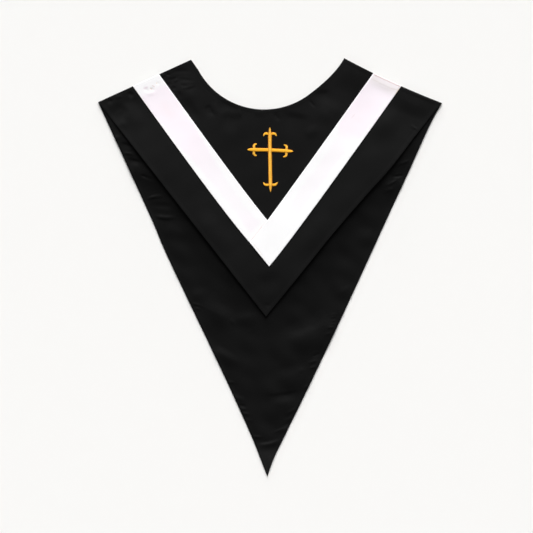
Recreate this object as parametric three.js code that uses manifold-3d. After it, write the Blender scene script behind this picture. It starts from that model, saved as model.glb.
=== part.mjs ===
// A choir stole laid out flat on a table, front panel uppermost.
// Millimetres. X runs to the viewer's right, Y towards the neck, Z up off the table.
// The origin is under the middle of the stole, on the table. Left and right are the viewer's.
import * as THREE from 'three';
import { mergeVertices } from 'three/addons/utils/BufferGeometryUtils.js';
import Module from 'manifold-3d';

const wasm = await Module();
wasm.setup();

// Cloth. A panel is two layers of satin with interfacing between them, a band is a folded strip.
const PANEL_WALL = 1.4;
const BAND_WALL = 1.0;
const CLOTH_GAP = 0.3;

// Cut of the two panels, as they lie. The shoulder seams slope down from the neck to the points.
const SHOULDER_LEFT = [-270.6, 260.6];
const SHOULDER_RIGHT = [270.8, 259.2];
const NECK_LEFT = [-124.2, 327.4];
const NECK_RIGHT = [116.9, 329.8];
const RIGHT_SEAM_SAG = 2.7;
const BACK_TIP = [-4, -329];
const FRONT_TIP = [-6.4, -77.7];

// The neckline: one arc, straight on up to the left neck corner and flaring to the right one. The
// back neckline is cut a little deeper, so it stays under the front one.
const NECK_RADIUS = 117.3;
const NECK_BOTTOM = [-9.1, 249];
const NECK_ARC_LEFT = 62;
const NECK_ARC_RIGHT = 37;
const NECK_FLARE = 52;
const BACK_NECK_EXTRA = 2.5;
const BACK_NECK_SETBACK = 0.02;

// Long edges that aren't straight as they lie: the points each one passes through, from the shoulder.
const BACK_EDGE_LEFT = [
  [-226.9, 165.6], [-184.1, 71.1], [-159.9, 14.4], [-75.9, -162], [-30.3, -262.7], [-15.1, -300.6],
];
const BACK_EDGE_RIGHT = [
  [250.6, 222.3], [216.4, 146.7], [184.4, 77.4], [126.6, -48.6], [73.3, -162], [24.2, -262.7],
  [6, -300.6],
];
const FRONT_EDGE_RIGHT = [[226.1, 203.4], [190, 156.5], [147.5, 109], [98.5, 52], [53, -4.5]];

// White bands. Each runs down from its shoulder seam, and the right one laps over the left one's end.
const BAND_TIP = [-1.2, 1.5];
const BAND_VERTEX = [-4, 74.4];
const LAP_END = [-31.4, 38.7];
const LEFT_BAND_OUTER = [-215.9, 285.5];
const LEFT_BAND_INNER = [-174.5, 304.4];
const RIGHT_BAND_OUTER = [207, 286];
const RIGHT_BAND_INNER = [162.8, 306.1];
const LEFT_OUTER_BOW = 2.65;
const LEFT_INNER_BOW = 1.7;
const RIGHT_OUTER_BOW = 2.2;
const RIGHT_INNER_BOW = 0.5;
const BAND_LEAN = 0.2;

// The front panel stands off the back panel, most along its V edges, where the back panel swells
// up under it. Both settle down to the shoulder seams and lie lower at the front panel's point.
const EDGE_STAND = 6.6;
const MIDDLE_STAND = 2.4;
const EDGE_STAND_WIDTH = 110;
const EDGE_SWELL = 3.4;
const EDGE_SWELL_WIDTH = 42;
const SEAM_HOLD = 8;
const SEAM_SETTLE = 130;
const TIP_SETTLE = 90;
const TIP_HOLD = 0.4;

// Soft ridges of each panel: from and to are the ends of the crest, reach is the half width at its
// foot and rise its height. The ones on the front panel's area come on top of the back panel's.
const BACK_FOLDS = [
  { from: [-118, -63], to: [-62, -83], reach: 23, rise: 1.1 },
  { from: [-56, -79], to: [-24, -77], reach: 14, rise: 0.6 },
  { from: [-86, -131], to: [-50, -153], reach: 17, rise: 1.3 },
  { from: [12, -131], to: [100, -92], reach: 34, rise: 2.2 },
  { from: [-4, -184], to: [62, -163], reach: 26, rise: 1.2 },
  { from: [-4, -221], to: [42, -214], reach: 20, rise: 0.9 },
  { from: [-18, -280], to: [16, -274], reach: 10, rise: 1.1 },
  { from: [-220, 158], to: [-184, 136], reach: 21, rise: 1.3 },
  { from: [180, 120], to: [208, 136], reach: 20, rise: 1.2 },
];
const FRONT_FOLDS = [
  { from: [208, 264], to: [166, 208], reach: 26, rise: 0.6 },
  { from: [-232, 262], to: [-196, 214], reach: 22, rise: 1.4 },
  { from: [-150, 292], to: [-112, 262], reach: 18, rise: 1.3 },
  { from: [112, 262], to: [78, 226], reach: 22, rise: 1.3 },
  { from: [-120, 92], to: [-62, 22], reach: 24, rise: 1.3 },
  { from: [96, 92], to: [44, 20], reach: 24, rise: 1.3 },
];

// Mesh lines shared by every laid piece, so that surfaces on each other bend at the same lines.
const COLUMN_STEP = 14;
const ROW_STEP_LOW = 10;
const ROW_STEP_HIGH = 14;
const ROW_CHANGE = -50;
const MESH_HALF_WIDTH = 280;
const MESH_HALF_LENGTH = 340;
const CURVE_STEPS = 10;
const CUT_DEPTH = 40;

// The cross: four arms from the crossing, each with a pair of hooks near its pointed end.
// Turn is the arm's direction in degrees from +X and length how far its tip is from the crossing.
// The hooks leave it at hooks, where its bar narrows by the share waist. They stand out by reach,
// and curl is how far their tips turn back. Point is how near its tip the arm still is full.
const CROSS_CENTRE = [-0.1, 185];
const UPRIGHT = { width: 5.9, point: 4.4 };
const CROSSBAR = { width: 5.6, point: 3, waist: 0.94 };
const CROSS_ARMS = [
  { ...UPRIGHT, turn: 90, length: 35.9, hooks: 24.4, waist: 0.72, reach: 9.9, curl: 2.2 },
  { ...UPRIGHT, turn: -89.1, length: 66.2, hooks: 53.4, waist: 0.78, reach: 10.8, curl: 2.6 },
  { ...CROSSBAR, turn: -3.3, length: 37, hooks: 24.9, reach: 9.3, curl: 3.4 },
  { ...CROSSBAR, turn: 178.9, length: 35.9, hooks: 23.8, reach: 9.1, curl: 3.1 },
];
const NARROWING = 2.2;
const WAIST_LENGTH = 1.6;
const HOOK_RISE = 4.0;
const HOOK_BEND = 8.8;
const HOOK_WIDTH = 4.1;
const HOOK_TIP_WIDTH = 2.4;
const HOOK_TIP_ROUND = 0.9;
const HOOK_TAPER_START = 0.4;
const HOOK_STEPS = 7;
const POINT_STEPS = 4;
const STITCH_HEIGHT = 1.2;
const STITCH_ROUND = 0.45;

const COLOURS = { satin: 0x1a1a1a, white: 0xf8f1f7, gold: 0xf8b533 };

function smooth(value) {
  const t = Math.min(1, Math.max(0, value));
  return t * t * (3 - 2 * t);
}

function distanceToLine(x, y, from, to) {
  const run = [to[0] - from[0], to[1] - from[1]];
  const square = run[0] ** 2 + run[1] ** 2;
  const along = ((x - from[0]) * run[0] + (y - from[1]) * run[1]) / square;
  const held = Math.min(1, Math.max(0, along));
  return Math.hypot(x - from[0] - held * run[0], y - from[1] - held * run[1]);
}

function foldHeight(x, y, folds) {
  let height = 0;
  for (const { from, to, reach, rise } of folds) {
    height += rise * smooth(1 - distanceToLine(x, y, from, to) / reach);
  }
  return height;
}

function distanceToEdge(x, y) {
  return Math.min(
    distanceToLine(x, y, SHOULDER_LEFT, FRONT_TIP),
    distanceToLine(x, y, SHOULDER_RIGHT, FRONT_TIP),
  );
}

// How freely the cloth stands up: 0 at the shoulder seams, less at the front panel's point, else 1.
function looseness(x, y) {
  const toSeam = Math.min(
    distanceToLine(x, y, SHOULDER_LEFT, NECK_LEFT),
    distanceToLine(x, y, SHOULDER_RIGHT, NECK_RIGHT),
  );
  const toTip = Math.hypot(x - FRONT_TIP[0], y - FRONT_TIP[1]);
  const atTip = TIP_HOLD + (1 - TIP_HOLD) * smooth(toTip / TIP_SETTLE);
  return smooth((toSeam - SEAM_HOLD) / SEAM_SETTLE) * atTip;
}

function frontStand(x, y) {
  const atEdge = smooth(1 - distanceToEdge(x, y) / EDGE_STAND_WIDTH);
  return (MIDDLE_STAND + (EDGE_STAND - MIDDLE_STAND) * atEdge) * looseness(x, y);
}

// Heights of the laid surfaces, from the table up. Each piece lies a cloth gap above the last.
function backUnder(x, y) {
  const nearEdge = Math.max(0, 1 - distanceToEdge(x, y) / EDGE_SWELL_WIDTH);
  return foldHeight(x, y, BACK_FOLDS) + EDGE_SWELL * nearEdge ** 2 * looseness(x, y);
}

function frontUnder(x, y) {
  const folds = foldHeight(x, y, BACK_FOLDS) + foldHeight(x, y, FRONT_FOLDS);
  return PANEL_WALL + CLOTH_GAP + folds + frontStand(x, y);
}

function bandUnder(x, y) {
  return frontUnder(x, y) + PANEL_WALL + CLOTH_GAP;
}

// Outlines, as lists of THREE.Vector2 that run round a piece.
function curveThrough(points) {
  const curve = new THREE.SplineCurve(points.map(([x, y]) => new THREE.Vector2(x, y)));
  return curve.getPoints(CURVE_STEPS * 2);
}

// A long edge that bows to its left, seen from its start. It may begin a little way along, and lean
// is the share of the way along at which the bow pulls.
function bowedLine(from, to, bow, begin = 0, lean = 0.5) {
  const start = new THREE.Vector2(...from);
  const end = new THREE.Vector2(...to);
  const normal = end.clone().sub(start).normalize().rotateAround(new THREE.Vector2(), Math.PI / 2);
  const middle = start.clone().lerp(end, lean).addScaledVector(normal, 2 * bow);
  const curve = new THREE.QuadraticBezierCurve(start, middle, end);
  return Array.from({ length: CURVE_STEPS + 1 }, (_, i) => (
    curve.getPoint(begin + ((1 - begin) * i) / CURVE_STEPS)
  ));
}

// The neckline between its corners, with its arc deepened by extra, up to the given right corner.
function neckline(extra, rightCorner) {
  const centre = new THREE.Vector2(NECK_BOTTOM[0], NECK_BOTTOM[1] + NECK_RADIUS);
  const radius = NECK_RADIUS + extra;
  const points = [];
  const steps = CURVE_STEPS * 2;
  for (let i = 0; i <= steps; i += 1) {
    const turn = -NECK_ARC_LEFT + (i / steps) * (NECK_ARC_LEFT + NECK_ARC_RIGHT);
    const angle = THREE.MathUtils.degToRad(turn - 90);
    points.push(new THREE.Vector2(
      centre.x + radius * Math.cos(angle),
      centre.y + radius * Math.sin(angle),
    ));
  }
  const rise = THREE.MathUtils.degToRad(NECK_ARC_RIGHT);
  const arcEnd = points[steps];
  const tangent = new THREE.Vector2(Math.cos(rise), Math.sin(rise));
  const bend = arcEnd.clone().addScaledVector(tangent, NECK_FLARE);
  const flare = new THREE.QuadraticBezierCurve(arcEnd, bend, rightCorner).getPoints(CURVE_STEPS);
  return [...points, ...flare.slice(1, -1)];
}

// Both shoulder seams with the neckline between them, from the left shoulder point to the right one.
// A setback moves the neck corners a part of the way down the seams.
function shoulderLine(neckExtra, setback) {
  const left = bowedLine(NECK_LEFT, SHOULDER_LEFT, 0, setback);
  const right = bowedLine(NECK_RIGHT, SHOULDER_RIGHT, -RIGHT_SEAM_SAG, setback);
  return [left[CURVE_STEPS], left[0], ...neckline(neckExtra, right[0]), ...right];
}

function backOutline() {
  return [
    ...shoulderLine(BACK_NECK_EXTRA, BACK_NECK_SETBACK),
    ...curveThrough([SHOULDER_RIGHT, ...BACK_EDGE_RIGHT, BACK_TIP]).slice(1),
    ...curveThrough([SHOULDER_LEFT, ...BACK_EDGE_LEFT, BACK_TIP]).reverse().slice(1, -1),
  ];
}

function frontOutline() {
  return [
    ...shoulderLine(0, 0),
    ...curveThrough([SHOULDER_RIGHT, ...FRONT_EDGE_RIGHT, FRONT_TIP]).slice(1),
  ];
}

// The left band stops a cloth gap short of the right one, all along the lap.
function leftBandOutline() {
  const lap = new THREE.Vector2(BAND_VERTEX[0] - LAP_END[0], BAND_VERTEX[1] - LAP_END[1]).normalize();
  const apart = [-lap.y * CLOTH_GAP, lap.x * CLOTH_GAP];
  const innerEnd = [BAND_VERTEX[0] + apart[0], BAND_VERTEX[1] + apart[1]];
  const outerEnd = [LAP_END[0] + apart[0], LAP_END[1] + apart[1]];
  return [
    ...bowedLine(LEFT_BAND_INNER, innerEnd, -LEFT_INNER_BOW, 0, 1 - BAND_LEAN),
    ...bowedLine(outerEnd, LEFT_BAND_OUTER, LEFT_OUTER_BOW, 0, BAND_LEAN),
  ];
}

function rightBandOutline() {
  return [
    new THREE.Vector2(...LAP_END),
    ...bowedLine(BAND_VERTEX, RIGHT_BAND_INNER, -RIGHT_INNER_BOW, 0, BAND_LEAN),
    ...bowedLine(RIGHT_BAND_OUTER, BAND_TIP, RIGHT_OUTER_BOW, 0, 1 - BAND_LEAN),
  ];
}

function meshLines() {
  const columns = [];
  for (let x = -MESH_HALF_WIDTH; x <= MESH_HALF_WIDTH; x += COLUMN_STEP) columns.push(x);
  const rows = [];
  for (let y = -MESH_HALF_LENGTH; y < ROW_CHANGE; y += ROW_STEP_LOW) rows.push(y);
  for (let y = ROW_CHANGE; y < MESH_HALF_LENGTH + ROW_STEP_HIGH; y += ROW_STEP_HIGH) rows.push(y);
  return { columns, rows };
}

const LINES = meshLines();

// The lines that lie between two values, with one more on either side.
function linesAround(lines, low, high) {
  const first = lines.findLastIndex((line) => line < low);
  const last = lines.findIndex((line) => line > high);
  return lines.slice(first, last + 1);
}

function toManifold(geometry) {
  geometry.deleteAttribute('normal');
  geometry.deleteAttribute('uv');
  const merged = mergeVertices(geometry, 1e-4);
  return new wasm.Manifold(new wasm.Mesh({
    numProp: 3,
    vertProperties: new Float32Array(merged.attributes.position.array),
    triVerts: new Uint32Array(merged.index.array),
  }));
}

function toGeometry(manifold) {
  const mesh = manifold.getMesh();
  const geometry = new THREE.BufferGeometry();
  geometry.setAttribute('position', new THREE.BufferAttribute(mesh.vertProperties, 3));
  geometry.setIndex(new THREE.BufferAttribute(mesh.triVerts, 1));
  geometry.computeVertexNormals();
  return geometry;
}

// A closed wall of cloth over a rectangle of mesh lines: its underside follows a height function.
function clothSheet(columns, rows, under, wall) {
  const positions = [];
  for (const thickness of [0, wall]) {
    for (const y of rows) {
      for (const x of columns) positions.push(x, y, under(x, y) + thickness);
    }
  }
  const across = columns.length;
  const layer = across * rows.length;
  const index = [];
  const at = (i, j) => j * across + i;
  for (let j = 0; j < rows.length - 1; j += 1) {
    for (let i = 0; i < across - 1; i += 1) {
      const low = [at(i, j), at(i + 1, j), at(i + 1, j + 1), at(i, j + 1)];
      const top = low.map((corner) => corner + layer);
      index.push(low[0], low[2], low[1], low[0], low[3], low[2]);
      index.push(top[0], top[1], top[2], top[0], top[2], top[3]);
    }
  }
  const rim = [];
  for (let i = 0; i < across - 1; i += 1) rim.push(at(i, 0));
  for (let j = 0; j < rows.length - 1; j += 1) rim.push(at(across - 1, j));
  for (let i = across - 1; i > 0; i -= 1) rim.push(at(i, rows.length - 1));
  for (let j = rows.length - 1; j > 0; j -= 1) rim.push(at(0, j));
  rim.forEach((here, k) => {
    const next = rim[(k + 1) % rim.length];
    index.push(here, next, next + layer, here, next + layer, here + layer);
  });
  const geometry = new THREE.BufferGeometry();
  geometry.setAttribute('position', new THREE.Float32BufferAttribute(positions, 3));
  geometry.setIndex(index);
  return geometry;
}

// One laid piece: a sheet of cloth cut along its outline.
function cutCloth(outline, under, wall) {
  const box = new THREE.Box2().setFromPoints(outline);
  const columns = linesAround(LINES.columns, box.min.x, box.max.x);
  const rows = linesAround(LINES.rows, box.min.y, box.max.y);
  const sheet = toManifold(clothSheet(columns, rows, under, wall));
  const shape = new THREE.Shape(outline);
  const cutter = new THREE.ExtrudeGeometry(shape, { depth: CUT_DEPTH, bevelEnabled: false });
  cutter.translate(0, 0, -CUT_DEPTH / 2);
  return toGeometry(sheet.intersect(toManifold(cutter)));
}

// An arm, seen from the crossing: a bar that narrows to its waist and runs out in a long point.
function armOutline({ length, hooks, width, waist, point }) {
  const half = width / 2;
  const narrow = half * waist;
  const taper = new THREE.QuadraticBezierCurve(
    new THREE.Vector2(hooks + WAIST_LENGTH, narrow),
    new THREE.Vector2(length - point, narrow),
    new THREE.Vector2(length, 0),
  ).getPoints(POINT_STEPS);
  const side = [new THREE.Vector2(hooks - NARROWING, half), ...taper];
  return [
    new THREE.Vector2(-half, half),
    ...side,
    ...side.slice(0, -1).reverse().map(({ x, y }) => new THREE.Vector2(x, -y)),
    new THREE.Vector2(-half, -half),
  ].reverse();
}

// A hook, seen along the arm: it leaves the bar sideways, rises and curls back to the crossing.
function hookOutline({ reach, curl }, side) {
  const spine = new THREE.QuadraticBezierCurve(
    new THREE.Vector2(0, 0),
    new THREE.Vector2(HOOK_RISE, HOOK_BEND),
    new THREE.Vector2(-curl, reach),
  );
  const outer = [];
  const inner = [];
  for (let i = 0; i <= HOOK_STEPS; i += 1) {
    const t = i / HOOK_STEPS;
    const centre = spine.getPoint(t);
    const ahead = spine.getTangent(t);
    const taper = smooth((t - HOOK_TAPER_START) / (1 - HOOK_TAPER_START));
    const half = (HOOK_WIDTH - (HOOK_WIDTH - HOOK_TIP_WIDTH) * taper) / 2;
    outer.push(new THREE.Vector2(centre.x + ahead.y * half, (centre.y - ahead.x * half) * side));
    inner.push(new THREE.Vector2(centre.x - ahead.y * half, (centre.y + ahead.x * half) * side));
  }
  const tip = spine.getPoint(1).addScaledVector(spine.getTangent(1), HOOK_TIP_ROUND);
  return [...outer, new THREE.Vector2(tip.x, tip.y * side), ...inner.reverse()];
}

function stitched(outline) {
  return new THREE.ExtrudeGeometry(new THREE.Shape(outline), {
    depth: STITCH_HEIGHT - STITCH_ROUND,
    bevelThickness: STITCH_ROUND,
    bevelSize: STITCH_ROUND,
    bevelOffset: -STITCH_ROUND,
    bevelSegments: 2,
  });
}

function embroideredCross() {
  const solids = [];
  for (const arm of CROSS_ARMS) {
    const pieces = [stitched(armOutline(arm))];
    for (const side of [-1, 1]) {
      const hook = stitched(hookOutline(arm, side));
      hook.translate(arm.hooks, 0, 0);
      pieces.push(hook);
    }
    for (const part of pieces) {
      part.rotateZ(THREE.MathUtils.degToRad(arm.turn));
      solids.push(toManifold(part));
    }
  }
  const cross = solids.reduce((joined, solid) => joined.add(solid));
  // The underside is cut level, because the bevel rounds it as well.
  const level = new THREE.BoxGeometry(CUT_DEPTH * 4, CUT_DEPTH * 4, CUT_DEPTH);
  level.translate(0, 0, CUT_DEPTH / 2);
  const geometry = toGeometry(cross.intersect(toManifold(level)));
  const lie = frontUnder(...CROSS_CENTRE) + PANEL_WALL + CLOTH_GAP;
  geometry.translate(CROSS_CENTRE[0], CROSS_CENTRE[1], lie);
  return geometry;
}

function satin(color, roughness) {
  return new THREE.MeshStandardMaterial({ color, roughness, metalness: 0 });
}

function piece(name, geometry, material) {
  const mesh = new THREE.Mesh(geometry, material);
  mesh.name = name;
  return mesh;
}

const black = satin(COLOURS.satin, 0.45);
const white = satin(COLOURS.white, 0.4);
const gold = satin(COLOURS.gold, 0.35);

const stole = new THREE.Group();
stole.add(
  piece('back_panel', cutCloth(backOutline(), backUnder, PANEL_WALL), black),
  piece('front_panel', cutCloth(frontOutline(), frontUnder, PANEL_WALL), black),
  piece('white_band_left', cutCloth(leftBandOutline(), bandUnder, BAND_WALL), white),
  piece('white_band_right', cutCloth(rightBandOutline(), bandUnder, BAND_WALL), white),
  piece('embroidered_cross', embroideredCross(), gold),
);

export default stole;
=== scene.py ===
import math

import bpy
import numpy as np
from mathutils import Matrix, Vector
from mathutils.geometry import delaunay_2d_cdt


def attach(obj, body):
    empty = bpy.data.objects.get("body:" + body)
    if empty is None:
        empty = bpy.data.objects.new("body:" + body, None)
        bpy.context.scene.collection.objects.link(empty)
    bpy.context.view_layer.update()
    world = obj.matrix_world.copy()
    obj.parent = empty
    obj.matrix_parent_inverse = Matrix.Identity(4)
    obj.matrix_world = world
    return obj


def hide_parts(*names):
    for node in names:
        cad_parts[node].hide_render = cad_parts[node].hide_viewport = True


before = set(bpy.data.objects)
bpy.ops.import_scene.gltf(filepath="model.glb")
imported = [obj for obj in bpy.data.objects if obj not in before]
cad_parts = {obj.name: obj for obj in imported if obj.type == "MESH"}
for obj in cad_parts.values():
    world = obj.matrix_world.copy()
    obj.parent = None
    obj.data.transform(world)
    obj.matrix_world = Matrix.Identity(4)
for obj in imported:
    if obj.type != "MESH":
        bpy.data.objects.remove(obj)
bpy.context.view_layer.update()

# BACK PANEL: the long V at the wearer's back, its inner face uppermost. Two layers of black satin
# with interfacing between them are sewn face to face, turned and pressed, so every edge is a
# rounded roll, and the cloth puckers where the edge seam has drawn in.

# Lengths are in millimetres until a mesh is made, and left and right are the viewer's.
MM = 0.001
PANEL_WALL = 1.4
CLOTH_GAP = 0.3
SHOULDER_LEFT, SHOULDER_RIGHT = (-270.6, 260.6), (270.8, 259.2)
NECK_LEFT, NECK_RIGHT = (-124.2, 327.4), (116.9, 329.8)
RIGHT_SEAM_SAG = 2.7
BACK_TIP, FRONT_TIP = (-4, -329), (-6.4, -77.7)
BACK_EDGE_LEFT = [
    (-226.9, 165.6), (-184.1, 71.1), (-159.9, 14.4), (-75.9, -162), (-30.3, -262.7), (-15.1, -300.6)
]
BACK_EDGE_RIGHT = [
    (250.6, 222.3), (216.4, 146.7), (184.4, 77.4), (126.6, -48.6), (73.3, -162), (24.2, -262.7),
    (6, -300.6),
]
NECK_RADIUS = 117.3
NECK_BOTTOM = (-9.1, 249)
NECK_ARC_LEFT, NECK_ARC_RIGHT = 62, 37
NECK_FLARE = 52
BACK_NECK_EXTRA = 2.5
BACK_NECK_SETBACK = 0.02
EDGE_STEP = 1.7
EDGE_REACH = 25
# How far in from an edge the painted highlight of the pressed edge reaches, and how far in a band's
# middle is.
EDGE_HIGHLIGHT_WIDTH, MIDDLE_DEPTH = 2.2, 22
PANEL_ROLL = 0.9
ROLL_RINGS = (0.04, 0.15, 0.33, 0.62, 1.0)
CLEAR_OF_ROLL = 1.4
# The seam allowance inside an edge shows as a faint step.
ALLOWANCE_WIDTH, ALLOWANCE_RISE, ALLOWANCE_SLOPE = 6.5, 0.2, 2.5
# The back swells up under the front's V edges, but not at the seams and less at the front's point.
EDGE_SWELL, EDGE_SWELL_WIDTH = 3.4, 42
SEAM_HOLD, SEAM_SETTLE = 8, 130
TIP_HOLD, TIP_SETTLE = 0.4, 90

# Each fold runs from left to right. Its bow is how far its middle lies towards the neck from a
# straight line, above and below are its half widths towards the neck and the tip, its rise is the
# height of its crest (below 0 for a hollow), peak is the share of the way along at which it is
# highest, and a crisp fold is a sharp line instead of a round one.
#               from          to        bow above below rise  peak crisp
BACK_RIDGES = [
    ((-126, -61), (-54, -86), 1.5, 20, 26, 1.2, 0.60, 0.1),
    ((-66, -83), (-12, -75), -1.0, 11, 16, 0.6, 0.50, 0.0),
    ((-93, -127), (-44, -157), 1.0, 12, 18, 1.5, 0.40, 0.1),
    ((-6, -143), (120, -79), -2.0, 34, 36, 2.2, 0.58, 0.0),
    ((-16, -187), (74, -159), -2.0, 20, 30, 1.3, 0.55, 0.0),
    ((-10, -217), (50, -206), -3.0, 14, 26, 1.0, 0.50, 0.0),
    ((-22, -281), (20, -270), -3.0, 6, 9, 0.8, 0.45, 0.0),
    ((-224, 160), (-178, 132), 0.0, 20, 20, 1.4, 0.30, 0.0),
    ((176, 118), (214, 140), 0.0, 18, 18, 1.3, 0.60, 0.0),
]
BACK_PUCKERS = [
    ((-124, -46), (-90, -38), 1.0, 12, 12, 0.4, 0.3, 0.0),
    ((-122, -56.5), (-108, -61), 0.5, 2.5, 2.5, 0.59, 0.2, 0.4),
    ((-118, -64), (-108, -67), 0.5, 2.5, 3, 0.52, 0.2, 0.4),
    ((-62, -80), (-54, -93), 0.0, 3, 4, 0.52, 0.3, 0.2),
    ((90, -91), (104, -88.5), 0.6, 2.2, 2.4, 0.5, 0.8, 0.5),
    ((88, -96), (102, -93.5), 1.0, 3, 4, 0.6, 0.7, 0.3),
    ((84, -108), (97, -103), 1.0, 3, 4, 0.4, 0.8, 0.2),
    ((90, -75.5), (108, -73), 0.6, 2.4, 3, 0.35, 0.6, 0.4),
    ((92, -79.5), (106, -77), 0.6, 2.2, 2.6, 0.4, 0.7, 0.4),
    ((93, -86), (105, -83), 0.4, 2.2, 2.6, 0.4, 0.7, 0.5),
    ((6, -110), (98, -70), -3.0, 30, 14, -0.8, 0.6, 0.0),
    ((-122, -55), (-64, -82), 1.5, 2.5, 3, 0.2, 0.3, 0.5),
    ((62, -141), (80, -134.5), -0.5, 3, 3, -0.45, 0.7, 0.5),
    ((56, -152), (76, -146), 0.5, 4, 4, 0.5, 0.7, 0.2),
    ((60, -160), (74, -156), 0.8, 3, 3.4, 0.6, 0.7, 0.4),
    ((44, -163), (56, -160), 0.0, 4, 4, 0.35, 0.5, 0.0),
    ((50, -191), (61, -186), 0.0, 4, 4, 0.5, 0.9, 0.1),
    ((-12, -203), (58, -192), -2.6, 5, 18, -0.5, 0.45, 0.5),
    ((20, -232), (42, -221), -1.0, 4, 4, 0.4, 0.8, 0.1),
    ((18, -242), (38, -235), -0.6, 4, 4, 0.35, 0.8, 0.1),
    ((16, -249), (34, -243), -0.6, 3, 6, -0.4, 0.8, 0.3),
    ((2, -262), (31, -251.5), 1.4, 3, 4, 0.6, 0.65, 0.4),
    ((10, -263), (29, -255), 1.2, 2.2, 3, 0.5, 0.75, 0.6),
    ((-28, -266), (-10, -267), 0.3, 3, 4, 0.65, 0.3, 0.4),
    ((-25, -279), (24, -268), -3.4, 4.4, 6, 0.5, 0.42, 0.4),
    ((-67, -180), (-53, -182), 0.3, 4, 4, 0.6, 0.2, 0.3),
    ((-60, -203), (-36, -213), 1.4, 6, 6, 0.55, 0.35, 0.1),
    ((-50, -216), (-35, -219), 0.3, 2.6, 5, -0.6, 0.3, 0.4),
    ((-47, -222), (-35, -224), 0.2, 2.6, 2.6, 0.5, 0.3, 0.4),
    ((-44, -229), (-30, -232), 0.2, 3, 3.4, 0.7, 0.35, 0.4),
    ((-39, -239), (-28, -243), 0.2, 4, 4, 0.5, 0.3, 0.2),
    ((-247, 203), (-233, 206), 0.5, 5, 6, 0.65, 0.3, 0.1),
    ((-237, 196), (-215, 190), 0.6, 4, 12, -1.0, 0.5, 0.3),
    ((-233, 180), (-211, 177), 1.2, 3, 4, 0.7, 0.4, 0.5),
    ((-228, 171), (-200, 164), 0.8, 4, 9, -0.9, 0.6, 0.3),
    ((-206, 146.5), (-180, 137), 0.6, 2.2, 4.5, -1.1, 0.35, 0.9),
    ((-196, 107), (-164, 112), 2.6, 3, 4, 1.04, 0.45, 0.5),
    ((-190, 99), (-150, 96), 0.0, 7, 7, -0.65, 0.6, 0.1),
    ((-184, 83), (-144, 81), -3.4, 5, 5, 1.04, 0.45, 0.2),
    ((192, 158), (222, 169), 0.8, 4, 4, 0.6, 0.7, 0.3),
    ((186, 145), (211, 146), -1.5, 2.4, 3.4, -0.9, 0.7, 0.6),
    ((178, 128), (202, 141), -2.0, 3, 3.4, 0.8, 0.6, 0.4),
    ((176, 118), (198, 124), 1.0, 5, 5, 0.5, 0.6, 0.1),
    ((94, -48), (136, -25), 0.0, 6, 14, 0.25, 0.6, 0.0),
    ((-166, 66), (-130, 44), 0.0, 12, 16, 0.65, 0.4, 0.0),
    ((120, 40), (168, 52), 0.0, 18, 18, 0.6, 0.7, 0.0),
]
FOLD_FULLNESS = 1.2
# The wall that is left under the deepest hollow.
THINNEST = 0.3
BACK_UNEVEN = (0.32, 42, 3)
# The mesh is coarse where the front panel hides it, and fine at the edges and the puckered point.
HIDDEN_STEP, FINE_STEP, BACK_STEP = 7.0, 1.6, 2.4
HIDDEN_DEPTH = 14
BACK_FINE_DEPTH, BACK_FINE_BELOW = 18, -190


def ease(value):
    """A soft step from 0 to 1."""
    t = np.clip(value, 0, 1)
    return t * t * (3 - 2 * t)


def bowed(start, end, bow, begin=0.0, count=12, lean=0.5):
    """Points along an edge or a fold that bows to its left, seen from its start.

    lean is the share of the way along at which the bow pulls."""
    a, b = np.array(start, float), np.array(end, float)
    left = np.array([a[1] - b[1], b[0] - a[0]]) / np.hypot(*(b - a))
    middle = a + (b - a) * lean + 2 * bow * left
    t = np.linspace(begin, 1, count + 1)[:, None]
    return (1 - t) ** 2 * a + 2 * t * (1 - t) * middle + t**2 * b


def beside(points, line):
    """Each point's distance from a line, its side of it (1 is left) and its share of the way along."""
    steps = np.hypot(*np.diff(line, axis=0).T)
    reached = np.concatenate([[0], np.cumsum(steps)])
    gap = np.full(len(points), np.inf)
    side, along = np.zeros(len(points)), np.zeros(len(points))
    for start, end, step, before in zip(line, line[1:], steps, reached):
        run = (end - start) / step
        to = points - start
        share = np.clip(to @ run, 0, step)
        away = np.hypot(*(to - share[:, None] * run).T)
        nearer = away < gap
        gap[nearer] = away[nearer]
        side[nearer] = np.sign(run[0] * to[:, 1] - run[1] * to[:, 0])[nearer]
        along[nearer] = ((before + share) / reached[-1])[nearer]
    return gap, side, along


def folded(points, folds):
    """The height that a table of folds adds to the cloth."""
    height = np.zeros(len(points))
    for start, end, bow, above, below, rise, peak, crisp in folds:
        line = bowed(start, end, bow)
        reach = max(above, below)
        near = ((points > line.min(0) - reach) & (points < line.max(0) + reach)).all(1)
        gap, side, along = beside(points[near], line)
        foot = np.clip(1 - gap / np.where(side > 0, above, below), 0, 1)
        profile = (1 - crisp) * ease(foot) + crisp * foot**2
        swell = np.where(along < peak, along / max(peak, 0.01), (1 - along) / (1.01 - peak))
        height[near] += rise * profile * ease(swell * FOLD_FULLNESS)
    return height


def uneven(points, rise, length, seed):
    """The gentle unevenness of cloth that has been folded away and laid out again."""
    draws = np.random.RandomState(seed)
    height = np.zeros(len(points))
    for turn, phase, stretch in draws.uniform(0, 1, (9, 3)):
        angle = 2 * math.pi * turn
        run = points @ np.array([math.cos(angle), math.sin(angle)])
        height += np.sin(2 * math.pi * (run / (length * (0.6 + stretch)) + phase))
    return rise * height / 3


def through(points):
    """A smooth edge through the given points."""
    p = np.array([points[0], *points, points[-1]], float)
    line = []
    for a, b, c, d in zip(p, p[1:], p[2:], p[3:]):
        t = np.linspace(0, 1, 12, endpoint=False)[:, None]
        leave, arrive = (c - a) / 2, (d - b) / 2
        cubic = (2 * b - 2 * c + leave + arrive) * t**3
        line.append(cubic + (3 * c - 3 * b - 2 * leave - arrive) * t**2 + leave * t + b)
    return np.vstack([*line, p[-1:]])


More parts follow.
